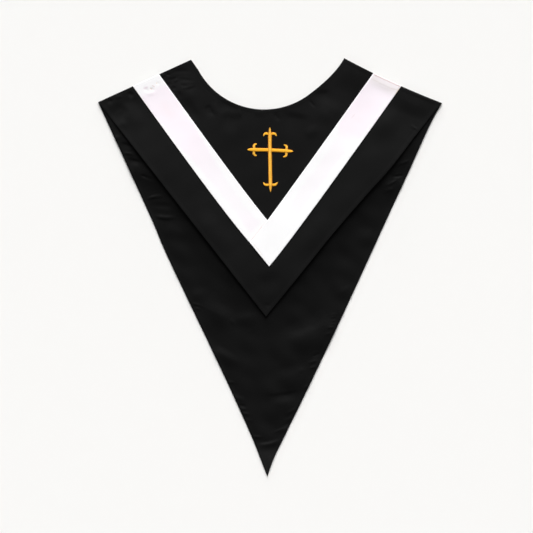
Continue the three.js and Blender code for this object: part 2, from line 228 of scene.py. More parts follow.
def neckline(extra, right_corner):
    """The neckline: one arc, which flares to the right neck corner."""
    radius = NECK_RADIUS + extra
    angles = np.radians(np.linspace(-NECK_ARC_LEFT, NECK_ARC_RIGHT, 61) - 90)
    centre = np.array([NECK_BOTTOM[0], NECK_BOTTOM[1] + NECK_RADIUS])
    arc = centre + radius * np.stack([np.cos(angles), np.sin(angles)], 1)
    rise = math.radians(NECK_ARC_RIGHT)
    middle = arc[-1] + NECK_FLARE * np.array([math.cos(rise), math.sin(rise)])
    t = np.linspace(0, 1, 21)[1:-1, None]
    flare = (1 - t) ** 2 * arc[-1] + 2 * t * (1 - t) * middle + t**2 * np.array(right_corner)
    return np.vstack([arc, flare])


def shoulder_line(extra, setback):
    """Both shoulder seams with the neckline between them, from the left shoulder to the right one."""
    left = bowed(NECK_LEFT, SHOULDER_LEFT, 0, setback)
    right = bowed(NECK_RIGHT, SHOULDER_RIGHT, -RIGHT_SEAM_SAG, setback)
    return np.vstack([left[::-1], neckline(extra, right[0]), right])


def evenly(line, step, closed=True):
    """A line with points an even step apart on it. Its corners keep their points."""
    line = np.vstack([line, line[:1]]) if closed else line
    made = []
    for start, end in zip(line, line[1:]):
        count = max(1, round(np.hypot(*(end - start)) / step))
        made.append(start + (end - start) * np.arange(count)[:, None] / count)
    return np.vstack(made if closed else [*made, line[-1:]])


def area_of(outline):
    """The area inside an outline, above 0 if it runs counter-clockwise."""
    x, y = outline.T
    return (x * np.roll(y, -1) - y * np.roll(x, -1)).sum() / 2


def depth_inside(points, outline):
    """How deep each point lies inside an outline, up to EDGE_REACH. It is below 0 outside."""
    ends = np.roll(outline, -1, axis=0)
    order = np.argsort(points[:, 1], kind="stable")
    depth = np.empty(len(points))
    for first in range(0, len(points), 600):
        chosen = order[first : first + 600]
        part = points[chosen]
        low, high = part[0, 1] - EDGE_REACH, part[-1, 1] + EDGE_REACH
        near = (np.maximum(outline[:, 1], ends[:, 1]) >= low)
        near &= np.minimum(outline[:, 1], ends[:, 1]) <= high
        a, b = outline[near], ends[near]
        run, to = b - a, part[:, None] - a
        share = np.clip((to * run).sum(2) / np.maximum((run**2).sum(1), 1e-9), 0, 1)
        away = ((to - share[..., None] * run) ** 2).sum(2)
        gap = np.sqrt(away.min(1, initial=EDGE_REACH**2))
        y = part[:, 1, None]
        slope = run[:, 0] / np.where(run[:, 1] == 0, 1e-9, run[:, 1])
        crossed = ((a[:, 1] > y) != (b[:, 1] > y)) & (to[..., 0] < to[..., 1] * slope)
        depth[chosen] = np.where(crossed.sum(1) % 2, gap, -gap)
    return depth


def offset_in(outline, depth):
    """The points of an outline moved inwards, those that would leave its corners left out."""
    before = outline - np.roll(outline, 1, axis=0)
    after = np.roll(outline, -1, axis=0) - outline
    inward = [np.stack([-v[:, 1], v[:, 0]], 1) / np.hypot(*v.T)[:, None] for v in (before, after)]
    spread = 1 + (inward[0] * inward[1]).sum(1)
    moved = outline + depth * (inward[0] + inward[1]) / np.maximum(spread, 0.05)[:, None]
    return moved[depth_inside(moved, outline) > 0.97 * depth]


def mesh_points(low, high, step):
    """Rows of points in a staggered grid over a box."""
    rows = np.arange(low[1], high[1], step * math.sqrt(0.75))
    columns = np.arange(low[0], high[0], step)
    grid = np.stack(np.meshgrid(columns, rows), -1)
    grid[1::2, :, 0] += step / 2
    return grid.reshape(-1, 2)


def laid_cloth(name, outline, faces, roll, density):
    """One turned and pressed piece of cloth as a closed shell.

    faces gives the heights of its lower and upper face from its points and their depths inside the
    edge, roll is how deep the edge is rounded, and density lists the mesh's steps with where each
    one holds, as far as no earlier one does."""
    outline = evenly(outline if area_of(outline) > 0 else outline[::-1], EDGE_STEP)
    rings = [offset_in(outline, roll * share) for share in ROLL_RINGS]
    inner = []
    for number, (step, where) in enumerate(density):
        points = mesh_points(outline.min(0), outline.max(0), step)
        depth = depth_inside(points, outline)
        clear = depth > roll * CLEAR_OF_ROLL
        points, depth = points[clear], depth[clear]
        holds = where(points, depth)
        for _, earlier in density[:number]:
            holds &= ~earlier(points, depth)
        inner.append(points[holds])
    points = np.vstack([outline, *rings, *inner])
    flat, _, triangles, came_from, _, _ = delaunay_2d_cdt(
        [tuple(p) for p in points], [], [list(range(len(outline)))], 1, 1e-4
    )
    flat = np.array([tuple(p) for p in flat])
    depth = np.maximum(depth_inside(flat, outline), 0)
    at_edge = np.array([min(ids) < len(outline) for ids in came_from])
    depth[at_edge] = 0
    lower, upper = faces(flat, depth)
    share = np.clip(depth / roll, 0, 1)
    round_off = (upper - lower) / 2 * (1 - np.sqrt(1 - (1 - share) ** 2))
    top = np.column_stack([flat, upper - round_off])
    bottom = np.column_stack([flat, lower + round_off])
    triangles = np.array([tuple(t) for t in triangles])
    a, b, c = (flat[triangles[:, i]] for i in range(3))
    turned = (b[:, 0] - a[:, 0]) * (c[:, 1] - a[:, 1]) < (b[:, 1] - a[:, 1]) * (c[:, 0] - a[:, 0])
    triangles[turned] = triangles[turned][:, ::-1]
    below = np.where(at_edge, np.arange(len(flat)), 0)
    below[~at_edge] = len(flat) + np.arange((~at_edge).sum())
    vertices = np.vstack([top, bottom[~at_edge]]) * MM
    sides = np.vstack([triangles, below[triangles][:, ::-1]])
    mesh = bpy.data.meshes.new(name)
    mesh.from_pydata(vertices.tolist(), [], sides.tolist())
    # pressed feeds the painted highlight along a satin's pressed edges, and middle the place of a band's
    # painted pink cast.
    layers = {"pressed": np.exp(-depth / EDGE_HIGHLIGHT_WIDTH), "middle": depth / MIDDLE_DEPTH}
    for layer, share in layers.items():
        values = np.concatenate([share, share[~at_edge]]).astype("f")
        mesh.attributes.new(layer, "FLOAT", "POINT").data.foreach_set("value", values)
    mesh.shade_smooth()
    made = bpy.data.objects.new(name, mesh)
    bpy.context.scene.collection.objects.link(made)
    return made


class Shade:
    """A socket of a material's nodes. Arithmetic on it adds the Math nodes that work it out."""

    def __init__(self, tree, socket=None):
        self.tree, self.socket = tree, socket

    def node(self, kind, settings=None, sockets=None, output=0):
        """Adds any other node: its settings first, then the values or links of its sockets."""
        made = self.tree.nodes.new(kind)
        for name, value in (settings or {}).items():
            if name == "stops":
                ramp = made.color_ramp.elements
                for place, (position, colour) in enumerate(value):
                    stop = ramp[place] if place < 2 else ramp.new(position)
                    stop.position, stop.color = position, colour
            else:
                setattr(made, name, value)
        for name, value in (sockets or {}).items():
            if isinstance(value, Shade):
                self.tree.links.new(value.socket, made.inputs[name])
            else:
                made.inputs[name].default_value = value
        return Shade(self.tree, made.outputs[output]) if made.outputs else None

    def maths(self, operation, *values):
        return self.node("ShaderNodeMath", {"operation": operation}, dict(enumerate(values)))

    def __add__(self, other):
        return self.maths("ADD", self, other)

    def __sub__(self, other):
        return self.maths("SUBTRACT", self, other)

    def __rsub__(self, other):
        return self.maths("SUBTRACT", other, self)

    def __mul__(self, other):
        return self.maths("MULTIPLY", self, other)

    __radd__, __rmul__ = __add__, __mul__

    def sine(self):
        return self.maths("SINE", self)

    def size(self):
        return self.maths("ABSOLUTE", self)

    def whole(self):
        return self.maths("FLOOR", self)

    def held(self):
        """The value kept from 0 to 1."""
        return self.maths("MINIMUM", self.maths("MAXIMUM", self, 0.0), 1.0)

    def between(self, low, high):
        """0 at low, 1 at high and beyond."""
        return ((self - low) * (1 / (high - low))).held()

    def colours(self, first, second):
        """Goes from the first colour to the second as this mask goes from 0 to 1."""
        return self.node("ShaderNodeMix", {"data_type": "RGBA"}, {0: self, 6: first, 7: second}, 2)


def new_material(name):
    """An empty material and a Shade to build it with."""
    material = bpy.data.materials.new(name)
    material.use_nodes = True
    material.node_tree.nodes.clear()
    return material, Shade(material.node_tree)


def place_on(start):
    """The place on the object as a vector and as its three parts, in metres."""
    place = start.node("ShaderNodeTexCoord", output="Object")
    return place, *(
        start.node("ShaderNodeSeparateXYZ", sockets={"Vector": place}, output=axis)
        for axis in "XYZ"
    )


def mottling(start, place, scale, detail=2.0):
    """Soft patches from 0 to 1, scale of them to a metre."""
    noise = {"Vector": place, "Scale": scale, "Detail": detail, "Roughness": 0.5}
    return start.node("ShaderNodeTexNoise", sockets=noise, output="Fac")


# Sizes in a material are in metres, as its places are.
SATIN_PITCH, SATIN_DEPTH = 0.00028, 0.000012
# Where a painted sheen lightens the back panel towards its point, and how patchy its edge is.
TIP_SHEEN_FROM_TO, TIP_SHEEN_PATCHES = (0.278, 0.302), 0.012


def satin_relief(x, y, pitch):
    """Satin's long floats side by side, each tied down at its own place along the warp."""
    turn = 2 * math.pi / pitch
    yarns = (x * turn).sine() * 0.5 + 0.5
    ties = (y * (turn / 5) + (x * (1 / pitch)).whole() * 2.513).sine() * 0.5 + 0.5
    return yarns * (ties * 0.55 + 0.45)


def dress(start, colour, roughness, relief, depth, plain):
    """Ends a material: colour, roughness and relief vary, and the plain values are the same all over."""
    bump = {"Strength": 1.0, "Distance": depth, "Height": relief}
    sockets = {
        "Base Color": colour,
        "Roughness": roughness,
        "Normal": start.node("ShaderNodeBump", sockets=bump),
    }
    shader = start.node("ShaderNodeBsdfPrincipled", sockets={**sockets, **plain})
    start.node("ShaderNodeOutputMaterial", sockets={"Surface": shader})


def black_satin(name, deep, light, across, tip_sheen=None):
    """Black polyester satin: soft sheen, faint patches of wear, and a painted highlight along pressed
    edges.

    across turns the weave by a quarter, and the last colour is the grey of a painted sheen that lightens
    the panel towards its point."""
    material, start = new_material(name)
    place, x, y, _ = place_on(start)
    patches = mottling(start, place, 42.0)
    fine = mottling(start, place, 900.0)
    edge = start.node("ShaderNodeAttribute", {"attribute_name": "pressed"}, output="Fac")
    # Painted highlight: the colour turns lighter along the pressed edges.
    tone_and_edge_highlight = (patches * 0.6 + fine * 0.25 + edge * 0.55).held()
    colour = tone_and_edge_highlight.colours(deep, light)
    # Painted sheen: the colour turns lighter towards the panel's point.
    if tip_sheen:
        tip_sheen_mask = (y * -1 + patches * TIP_SHEEN_PATCHES).between(*TIP_SHEEN_FROM_TO)
        colour = tip_sheen_mask.colours(colour, tip_sheen)
    roughness = 0.58 + patches * 0.07 - edge * 0.03
    relief = satin_relief(*((y, x) if across else (x, y)), SATIN_PITCH)
    dress(start, colour, roughness, relief + fine * 0.4, SATIN_DEPTH, {"Specular IOR Level": 0.11})
    return material


def to_front_edge(points):
    """Each point's distance from the nearer one of the front panel's V edges."""
    edges = [np.array([corner, FRONT_TIP]) for corner in (SHOULDER_LEFT, SHOULDER_RIGHT)]
    return np.minimum(*(beside(points, edge)[0] for edge in edges))


def looseness(points):
    """How free each point is of the shoulder seams and the front panel's point, from 0 to 1."""
    seams = [np.array(pair) for pair in ((SHOULDER_LEFT, NECK_LEFT), (SHOULDER_RIGHT, NECK_RIGHT))]
    to_seam = np.minimum(*(beside(points, seam)[0] for seam in seams))
    to_tip = np.hypot(*(points - FRONT_TIP).T)
    at_tip = TIP_HOLD + (1 - TIP_HOLD) * ease(to_tip / TIP_SETTLE)
    return ease((to_seam - SEAM_HOLD) / SEAM_SETTLE) * at_tip


def back_under(points):
    """Height of the back panel's lower face, which swells up under the front's V edges."""
    near_edge = np.maximum(0, 1 - to_front_edge(points) / EDGE_SWELL_WIDTH)
    return folded(points, BACK_RIDGES) + EDGE_SWELL * near_edge**2 * looseness(points)


def back_faces(points, depth=None):
    """Heights of the back panel's faces. Its folds lift both of them off the table, and its puckers
    shape the upper one alone."""
    lower = back_under(points)
    puckers = folded(points, BACK_PUCKERS) + uneven(points, *BACK_UNEVEN) * looseness(points)
    upper = lower + np.maximum(PANEL_WALL + puckers, THINNEST)
    if depth is not None:
        upper = upper + ALLOWANCE_RISE * ease((ALLOWANCE_WIDTH - depth) / ALLOWANCE_SLOPE)
    return lower, upper


back_outline = np.vstack([
    shoulder_line(BACK_NECK_EXTRA, BACK_NECK_SETBACK),
    through([SHOULDER_RIGHT, *BACK_EDGE_RIGHT, BACK_TIP])[1:],
    through([SHOULDER_LEFT, *BACK_EDGE_LEFT, BACK_TIP])[::-1][1:-1],
])
FRONT_EDGE_RIGHT = [(226.1, 203.4), (190, 156.5), (147.5, 109), (98.5, 52), (53, -4.5)]
front_outline = np.vstack([
    shoulder_line(0, 0),
    through([SHOULDER_RIGHT, *FRONT_EDGE_RIGHT, FRONT_TIP])[1:],
])


def under_front(points, depth):
    """Where the front panel covers the back one, so that the cloth there can't be seen."""
    return depth_inside(points, front_outline) > HIDDEN_DEPTH


back_panel = laid_cloth(
    "back_panel_satin",
    back_outline,
    back_faces,
    PANEL_ROLL,
    [
        (HIDDEN_STEP, under_front),
        (FINE_STEP, lambda at, depth: (depth < BACK_FINE_DEPTH) | (at[:, 1] < BACK_FINE_BELOW)),
        (BACK_STEP, lambda at, depth: depth > 0),
    ],
)
# The back panel's satin is given darker colours than the front panel's.
back_panel.data.materials.append(
    black_satin(
        "black_satin_inner",
        (0.0012, 0.0012, 0.0012, 1),
        (0.0026, 0.0026, 0.0026, 1),
        across=True,
        # A painted sheen that lightens the back panel towards its point.
        tip_sheen=(0.0075, 0.0075, 0.0075, 1),
    )
)
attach(back_panel, "root")
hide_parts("back_panel")

# FRONT PANEL: the short V with the round neckline, in the same black satin cut double. It lies on
# the back panel, joined to it at both shoulder seams, and its V edges stand a little off it.
EDGE_STAND, MIDDLE_STAND = 6.6, 2.4
EDGE_STAND_WIDTH = 110
FRONT_STEP = 2.6
FRONT_FINE_DEPTH, FRONT_FINE_ABOVE = 10, 228
FRONT_RIDGES = [
    ((166, 208), (208, 264), 0.0, 26, 26, 0.6, 0.5, 0.0),
    ((-232, 262), (-196, 214), 0.0, 22, 22, 0.8, 0.5, 0.0),
    ((-150, 292), (-112, 262), 0.0, 18, 18, 0.8, 0.5, 0.0),
    ((78, 226), (112, 262), 0.0, 22, 22, 1.3, 0.5, 0.0),
    ((-120, 92), (-62, 22), 0.0, 24, 24, 1.3, 0.5, 0.0),
    ((44, 20), (96, 92), 0.0, 24, 24, 1.3, 0.5, 0.0),
]
FRONT_UNEVEN = (0.18, 52, 8)
FRONT_PUCKERS = [
    ((96, 322), (172, 296), 0.0, 70, 38, 2.2, 0.5, 0.0),
    ((180, 278), (270, 244), 0.0, 60, 24, 2.0, 0.5, 0.0),
    ((146, 218), (214, 230), 0.0, 44, 36, 1.5, 0.5, 0.0),
    ((-224, 277), (-214, 270), 0.0, 4, 7, -1.1, 0.5, 0.0),
    ((-222, 262), (-210, 276), -2.4, 3.4, 4, 0.3, 0.6, 0.2),
    ((-257, 265), (-247, 261), 0.0, 3.4, 7, -0.8, 0.5, 0.1),
    ((-244, 266), (-232, 270), 0.5, 4, 4, 0.6, 0.6, 0.0),
    ((-236, 251), (-206, 270), 1.0, 12, 40, -0.7, 0.6, 0.0),
    ((-246, 260), (-222, 236), -1.0, 12, 36, -1.1, 0.5, 0.0),
    ((-240, 230), (-222, 222), 0.0, 9, 9, 0.5, 0.5, 0.0),
    ((-171, 302), (-160, 306), 0.0, 3, 3.4, 0.6, 0.1, 0.1),
    ((-166, 305), (-156, 303), 0.0, 2.6, 2.6, -0.8, 0.5, 0.3),
    ((-164, 296), (-143, 301), -1.2, 2.6, 13, -0.55, 0.45, 0.6),
    ((-158, 307), (-124, 308), 1.5, 6, 13, -0.5, 0.6, 0.1),
    ((-156, 303), (-118, 304), 2.0, 4, 4, 0.2, 0.4, 0.1),
    ((-148, 298), (-118, 293), 1.0, 3.4, 14, -0.4, 0.4, 0.3),
    ((-152, 291), (-144, 298), 0.0, 3, 3, 0.5, 0.5, 0.2),
    ((-142, 288), (-126, 286), 0.0, 2.4, 10, -0.5, 0.3, 0.4),
    ((-144, 291), (-116, 290), 1.2, 2.6, 3, 0.2, 0.7, 0.2),
    ((-144, 280), (-114, 287), -2.6, 2.6, 14, -0.5, 0.6, 0.5),
    ((-160, 291), (-154, 287), 0.0, 2.6, 8, -0.6, 0.3, 0.3),
    ((-154, 285), (-147, 281), 0.0, 2.6, 8, -0.6, 0.3, 0.3),
    ((-143, 278), (-141, 266), 0.0, 3, 3, -0.7, 0.4, 0.3),
    ((-138, 266), (-114, 226), 2.0, 12, 20, -1.1, 0.5, 0.0),
    ((-98, 257), (-86, 237), -1.0, 4.5, 12, -1.0, 0.35, 0.4),
    ((-88, 262), (-82, 236), 0.0, 7, 6, 0.4, 0.4, 0.0),
    ((-84, 262), (-44, 245), 0.0, 10, 16, -0.9, 0.5, 0.0),
    ((-80, 238), (-42, 229), 0.0, 13, 26, -1.1, 0.5, 0.0),
    ((-49, 252), (-46, 234), 0.0, 4, 3, 0.5, 0.4, 0.1),
    ((-28, 244), (-4, 243), 0.0, 8, 8, 0.4, 0.5, 0.0),
    ((7, 245), (15, 230), 0.0, 5, 6, -0.6, 0.5, 0.0),
    ((12, 240), (68, 228), 0.0, 12, 34, -1.1, 0.5, 0.0),
    ((60.6, 265.8), (72.3, 251), 0.0, 2.6, 4, -0.7, 0.5, 0.4),
    ((68, 271), (98, 275), 0.0, 8, 18, -0.9, 0.5, 0.0),
    ((54, 206), (78, 222), 0.0, 12, 12, 0.7, 0.5, 0.0),
    ((219, 225.5), (233, 216.5), 0.0, 1.8, 2, 0.9, 0.6, 0.6),
    ((-26, -29), (24, -16), 0.0, 18, 24, -1.0, 0.5, 0.0),
    ((-10, -60), (2, -57), 0.0, 4, 6, -0.4, 0.5, 0.1),
    ((118, 326), (168, 303.4), 0.0, 2.0, 3, 0.3, 0.5, 0.2),
    ((212, 280.6), (264, 258.4), 0.0, 2.0, 3, 0.3, 0.5, 0.2),
]


def front_faces(points, depth=None):
    """Heights of the front panel's faces, above the back panel that carries it."""
    at_edge = ease(1 - to_front_edge(points) / EDGE_STAND_WIDTH)
    stand = (MIDDLE_STAND + (EDGE_STAND - MIDDLE_STAND) * at_edge) * looseness(points)
    folds = folded(points, BACK_RIDGES) + folded(points, FRONT_RIDGES)
    lower = PANEL_WALL + CLOTH_GAP + folds + stand
    puckers = folded(points, FRONT_PUCKERS) + uneven(points, *FRONT_UNEVEN)
    upper = lower + np.maximum(PANEL_WALL + puckers, THINNEST)
    if depth is not None:
        upper = upper + ALLOWANCE_RISE * ease((ALLOWANCE_WIDTH - depth) / ALLOWANCE_SLOPE)
    return lower, upper


front_panel = laid_cloth(
    "front_panel_satin",
    front_outline,
    front_faces,
    PANEL_ROLL,
    [
        (FINE_STEP, lambda at, depth: (depth < FRONT_FINE_DEPTH) | (at[:, 1] > FRONT_FINE_ABOVE)),
        (FRONT_STEP, lambda at, depth: depth > 0),
    ],
)
front_panel.data.materials.append(
    black_satin(
        "black_satin_outer",
        (0.0022, 0.0022, 0.0022, 1),
        (0.0044, 0.0044, 0.0044, 1),
        across=False,
    )
)
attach(front_panel, "root")
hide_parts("front_panel")

# SHOULDER SEAMS: the front and back are sewn together along the shoulders, right sides facing, so
# a narrow roll of the black satin fills the join between the two panels.
SEAM_ROLL = 0.62
SEAM_INSET = 0.55
SEAM_START = 0.012
SEAM_STEP = 3.0
SEAM_SIDES, THREAD_SIDES = 10, 6


def strands(name, paths, radii, sides):
    """Threads or rolls as closed tubes. paths is strands x points x 3, radii holds for each point."""
    count, long = paths.shape[:2]
    along = np.gradient(paths, axis=1)
    along /= np.linalg.norm(along, axis=2, keepdims=True)
    across = np.cross(along, [0, 0, 1])
    across /= np.maximum(np.linalg.norm(across, axis=2, keepdims=True), 1e-9)
    over = np.cross(across, along)
    turns = 2 * math.pi * np.arange(sides) / sides
    ring = (
        across[:, :, None] * np.cos(turns)[None, None, :, None]
        + over[:, :, None] * np.sin(turns)[None, None, :, None]
    )
    skin = paths[:, :, None] + ring * np.asarray(radii)[..., None, None]
    vertices = np.concatenate([skin.reshape(count, -1, 3), paths[:, :1], paths[:, -1:]], 1)
    each = long * sides + 2
    faces = []
    for i in range(long - 1):
        for j in range(sides):
            a, b = i * sides + j, i * sides + (j + 1) % sides
            faces.append((a, a + sides, b + sides, b))
    quads = (np.array(faces)[None] + each * np.arange(count)[:, None, None]).reshape(-1, 4)
    caps = []
    for j in range(sides):
        k = (j + 1) % sides
        caps.append((each - 2, j, k))
        caps.append((each - 1, (long - 1) * sides + k, (long - 1) * sides + j))
    ends = (np.array(caps)[None] + each * np.arange(count)[:, None, None]).reshape(-1, 3)
    mesh = bpy.data.meshes.new(name)
    mesh.from_pydata((vertices.reshape(-1, 3) * MM).tolist(), [], quads.tolist() + ends.tolist())
    mesh.shade_smooth()
    made = bpy.data.objects.new(name, mesh)
    bpy.context.scene.collection.objects.link(made)
    return made


roll_satin = black_satin(
    "black_satin_seam", (0.0018, 0.0018, 0.0018, 1), (0.0040, 0.0040, 0.0040, 1), across=True
)
for side, neck, shoulder, sag in (
    ("left", NECK_LEFT, SHOULDER_LEFT, 0),
    ("right", NECK_RIGHT, SHOULDER_RIGHT, -RIGHT_SEAM_SAG),
):
    line = evenly(bowed(neck, shoulder, sag, SEAM_START)[:-1], SEAM_STEP, closed=False)
    line = line - [0, SEAM_INSET]
    height = (back_faces(line)[1] + front_faces(line)[0]) / 2
    path = np.column_stack([line, height])[None]
    radii = np.full((1, len(line)), SEAM_ROLL)
    seam = strands(f"shoulder_seam_{side}", path, radii, SEAM_SIDES)
    seam.data.materials.append(roll_satin)
    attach(seam, "root")

# WHITE BANDS: strips of white satin, folded in half lengthwise and topstitched to the front panel
# close to both edges. Each one starts in its shoulder seam. The left one ends under the right one,
# which laps over it and is folded off at the point of the V.
BAND_WALL = 1.0
BAND_ROLL = 0.8
BAND_TIP = (-1.2, 1.5)
BAND_VERTEX = (-4, 74.4)
LAP_END = (-31.4, 38.7)
LEFT_BAND_OUTER, LEFT_BAND_INNER = (-215.9, 285.5), (-174.5, 304.4)
RIGHT_BAND_OUTER, RIGHT_BAND_INNER = (207, 286), (162.8, 306.1)
LEFT_OUTER_BOW, LEFT_INNER_BOW = 2.65, 1.7
RIGHT_OUTER_BOW, RIGHT_INNER_BOW = 2.2, 0.5
BAND_LEAN = 0.2
BAND_STEP = 1.7
BAND_UNEVEN = (0.05, 34, 21)
PUCKER_SHARE = 0.3
# The left band's end reaches this far under the right one, which rises over it and settles again.
LAP_UNDER = 4.0
LAP_RISE, LAP_THIN = 0.8, 0.3
LAP_SETTLE, LAP_FADE = 46, 50
# In metres: the weave, and how a place's height is told on the strip's middle line.
BAND_SATIN_PITCH, BAND_SATIN_DEPTH = 0.00026, 0.00001
TOP_HEIGHT, SEAM_TILT, TO_MIDDLE_LINE = 0.4, 0.46, 0.77
STITCH_INSET = 2.0
STITCH_PITCH, STITCH_LENGTH, STITCH_RADIUS = 3.0, 2.3, 0.17
STITCH_DENT, STITCH_DENT_WIDTH, STITCH_SINK = 0.16, 0.9, 0.14
STITCH_POINTS = 6
BAND_PUCKERS = [
    ((-200, 282), (-190, 276), 1.0, 4, 5, -0.35, 0.5, 0.2),
    ((-190, 284), (-182, 278), 0.0, 3, 3.4, -0.45, 0.5, 0.4),
    ((-180, 291), (-172, 289), 0.0, 3, 3, -0.3, 0.5, 0.2),
    ((-196, 272), (-178, 276), 0.0, 5, 5, 0.25, 0.5, 0.0),
    ((160, 297), (204, 279), -1.0, 4, 7, 0.25, 0.5, 0.1),
    ((150, 286), (196, 268), 0.0, 12, 20, -0.3, 0.6, 0.0),
    ((166, 292), (196, 281), 1.0, 2.4, 5, -0.2, 0.4, 0.3),
]
lap_run = np.subtract(LAP_END, BAND_VERTEX)
lap_run = lap_run / np.hypot(*lap_run)
lap_in = np.array([-lap_run[1], lap_run[0]])


def band_faces(laps):
    """The faces of a band on the front panel. One band laps over the other one's thinned end."""

    def faces(points, depth=None):
        carried = folded(points, FRONT_PUCKERS) * PUCKER_SHARE
        lower = front_faces(points)[0] + PANEL_WALL + CLOTH_GAP + carried
        past_lap = (points - BAND_VERTEX) @ lap_in
        past_end = (BAND_VERTEX - points) @ lap_run
        wall = BAND_WALL
        if laps:
            settled = ease((LAP_UNDER - past_lap) / LAP_SETTLE + 1) * ease(1 - past_end / LAP_FADE)
            lower = lower + LAP_RISE * settled
        else:
            wall = BAND_WALL - LAP_THIN * ease(past_lap - CLOTH_GAP)
        upper = lower + wall + folded(points, BAND_PUCKERS) + uneven(points, *BAND_UNEVEN)
        if depth is not None:
            from_row = np.abs(depth - STITCH_INSET)
            upper = upper - STITCH_DENT * ease(1 - from_row / STITCH_DENT_WIDTH)
        return lower, upper

    return faces


def band_edge(start, end, bow):
    """A long edge of a band, from its shoulder seam down. It bows most near its lower end."""
    return bowed(start, end, bow, count=24, lean=1 - BAND_LEAN)


def edge_stitches(name, lines, faces):
    """A row of topstitching along each line, each stitch sunk into the cloth at both ends."""
    to_end = np.linspace(-1, 1, STITCH_POINTS)
    paths = []
    for line in lines:
        steps = np.concatenate([[0], np.cumsum(np.hypot(*np.diff(line, axis=0).T))])
        starts = np.arange(STITCH_PITCH, steps[-1] - 2 * STITCH_PITCH, STITCH_PITCH)
        along = starts[:, None] + np.linspace(0, STITCH_LENGTH, STITCH_POINTS)
        flat = np.stack([np.interp(along, steps, line[:, k]) for k in range(2)], -1)
        top = faces(flat.reshape(-1, 2))[1].reshape(along.shape)
        sink = STITCH_RADIUS * (1.6 * to_end**4 - 0.1) + STITCH_SINK
        paths.append(np.concatenate([flat, (top - sink)[..., None]], -1))
    paths = np.concatenate(paths)
    radii = np.broadcast_to(STITCH_RADIUS * (1 - 0.45 * to_end**4), paths.shape[:2])
    return strands(name, paths, radii, THREAD_SIDES)


def line_mask(x, y, start, end, width, fade):
    """1 on a line between two places, 0 from width beside it, and softer within fade of its ends."""
    length = math.dist(start, end)
    run = [(b - a) / length for a, b in zip(start, end)]
    right, up = x - start[0] * MM, y - start[1] * MM
    along = right * run[0] + up * run[1]
    off = (up * run[0] - right * run[1]).size()
    near = (1 - off * (1 / (width * MM))).held()
    return near * along.between(0, fade * MM) * (length * MM - along).between(0, fade * MM)


def white_satin(name, pink, tints_and_shade):
    """White satin with a painted pink cast of light in the strip's middle, and painted shade on its
    creases.

    pink lists heights on the strip's middle line with the cast's strength and spread there. Each
    step of it runs across the strip like the shoulder seam. Each mark is a line with its start,
    its end, its half width, the fade at its ends and its colour."""
    material, start = new_material(name)
    place, x, y, _ = place_on(start)
    patches = mottling(start, place, 55.0)
    fine = mottling(start, place, 900.0)
    middle = start.node("ShaderNodeAttribute", {"attribute_name": "middle"}, output="Fac")
    stops = [(height * MM / TOP_HEIGHT, (strength, spread, 0, 1)) for height, strength, spread in pink]
    height = (y + x.size() * SEAM_TILT) * TO_MIDDLE_LINE
    cast = start.node("ShaderNodeValToRGB", {"stops": stops}, {"Fac": height * (1 / TOP_HEIGHT)})
    strength, spread = (
        start.node("ShaderNodeSeparateColor", sockets={"Color": cast}, output=k) for k in range(2)
    )
    speckle = mottling(start, place, 170.0, 4.0)
    # Painted pink cast of light, strongest in the strip's middle.
    pink_light_cast = strength * ((middle + spread - 1.25 + patches * 0.3 + speckle * 0.3) * 3.5).held()
    colour = (pink_light_cast + fine * 0.03).held().colours((0.888, 0.885, 0.889, 1), (0.866, 0.778, 0.842, 1))
    # Lines of painted shade along the lap, a seam and creases, with a few tinted patches and spots.
    for line_start, line_end, width, fade, tint in tints_and_shade:
        mark = line_mask(x, y, line_start, line_end, width, fade)
        colour = (mark * (patches * 0.6 + 0.6)).held().colours(colour, tint)
    roughness = 0.36 + patches * 0.08
    relief = satin_relief(x, y, BAND_SATIN_PITCH) + fine * 0.3
    dress(start, colour, roughness, relief, BAND_SATIN_DEPTH, {"Specular IOR Level": 0.35})
    return material


def sewing_thread(name, dark, light):
    """Spun polyester thread, with the twist of its plies."""
    material, start = new_material(name)
    place, x, y, _ = place_on(start)
    plies = ((x + y) * (2 * math.pi / 0.0004)).sine() * 0.5 + 0.5
    colour = (plies * 0.6 + mottling(start, place, 500.0) * 0.4).colours(dark, light)
    dress(start, colour, 0.5 + plies * 0.1, plies, 0.00003, {"Specular IOR Level": 0.3})
    return material


# Where the painted pink cast of light lies along each band's middle line.
#    height strength spread
LEFT_PINK = [
    (30, 0.3, 0.55), (66, 0.42, 0.6), (88, 0.25, 0.45), (124, 0.3, 0.55),
    (168, 0.6, 0.7), (200, 0.75, 0.95), (276, 0.75, 1.1), (284, 0.1, 0.9),
]
RIGHT_PINK = [
    (60, 0.0, 0.4), (110, 0.25, 0.5), (150, 0.3, 0.5), (196, 0.25, 0.5),
    (210, 0.7, 1.0), (248, 0.85, 1.1), (282, 0.7, 1.1),
]
